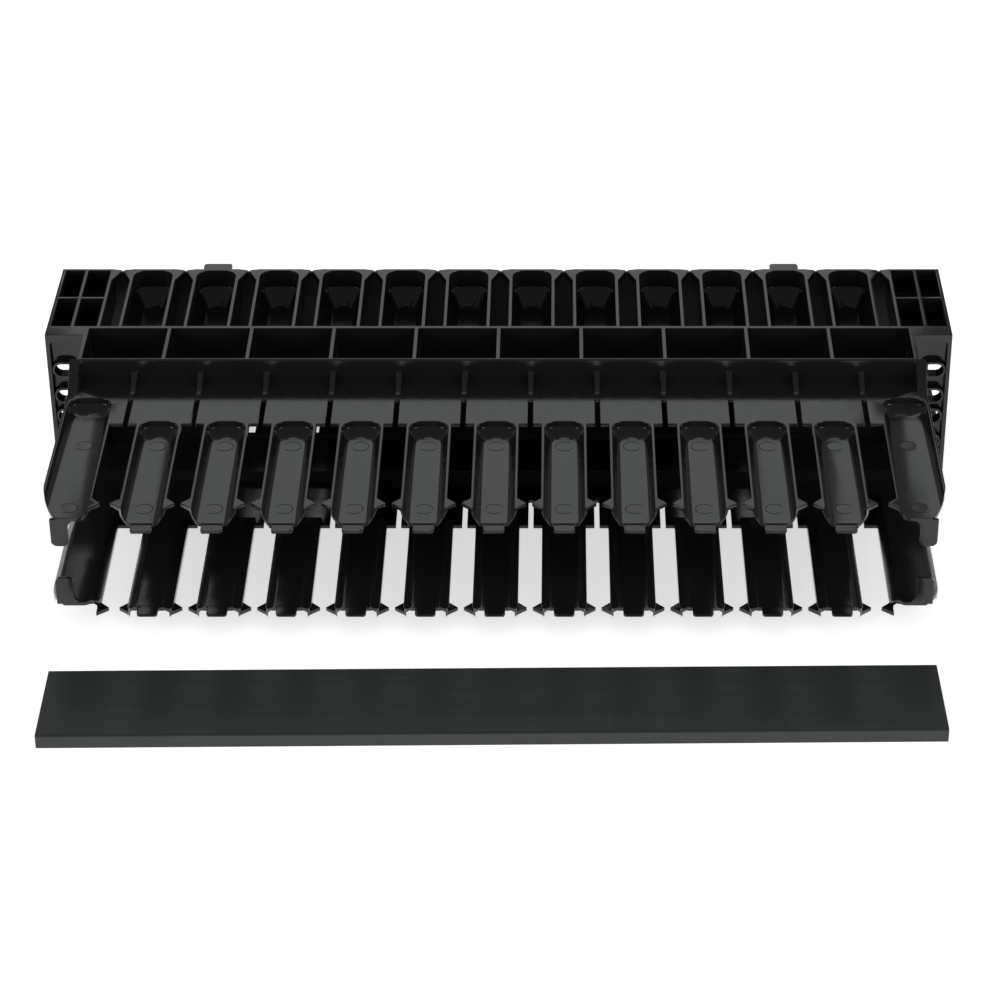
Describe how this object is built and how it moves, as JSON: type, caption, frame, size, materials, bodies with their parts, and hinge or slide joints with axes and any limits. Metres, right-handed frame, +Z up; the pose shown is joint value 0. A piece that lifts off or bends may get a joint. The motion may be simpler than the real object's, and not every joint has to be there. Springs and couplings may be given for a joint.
{
  "type": "horizontal cable manager",
  "caption": "Two-unit horizontal cable manager for a 19 inch rack, with rows of dished fingers on both sides of its ears and a clip-on channel cover lying in front.",
  "frame": {"origin": "centre of the mounting plane, where the ears' faces meet the rack rails", "axes": "+X along the rack's width, +Y out of the ears' plane towards the short fingers, +Z up"},
  "size_m": [0.4826, 0.3306, 0.0882],
  "materials": {
    "base_plastic": "black moulded plastic, satin",
    "cover_plastic": "black extruded plastic, satin"
  },
  "bodies": {
    "root": {"manager_base": "base_plastic", "front_cover": "cover_plastic", "rear_cover": "cover_plastic"}
  },
  "joints": []
}
